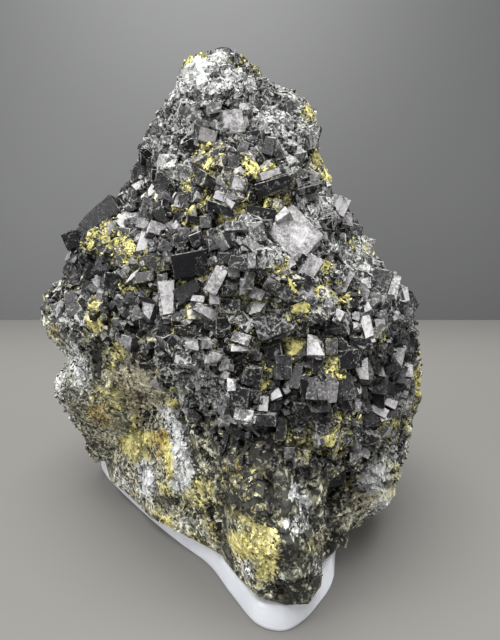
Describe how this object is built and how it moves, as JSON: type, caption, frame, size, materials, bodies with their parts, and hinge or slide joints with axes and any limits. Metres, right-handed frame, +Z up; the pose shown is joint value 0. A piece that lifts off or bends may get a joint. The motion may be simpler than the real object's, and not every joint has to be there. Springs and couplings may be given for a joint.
{
  "type": "uraninite specimen",
  "caption": "Upright lump of host rock crusted with black cube crystals on its front, with yellow and white alteration, standing on a flat pad of white mounting putty.",
  "frame": {"origin": "middle of the specimen's box, on the surface that the putty pad rests on", "axes": "+Z up through the peak of the rock, -Y out of the crystal face towards the viewer, +X to the viewer's right"},
  "size_m": [0.0462, 0.047, 0.0553],
  "materials": {
    "host_rock": "rough olive grey rock with yellow, ochre and white alteration",
    "uraninite": "black crystal faces with a submetallic gloss, some dusted light grey",
    "putty": "smooth white museum putty, slightly glossy"
  },
  "bodies": {
    "root": {"matrix": "host_rock", "uraninite_crystals": "uraninite", "mounting_putty": "putty"}
  },
  "joints": []
}
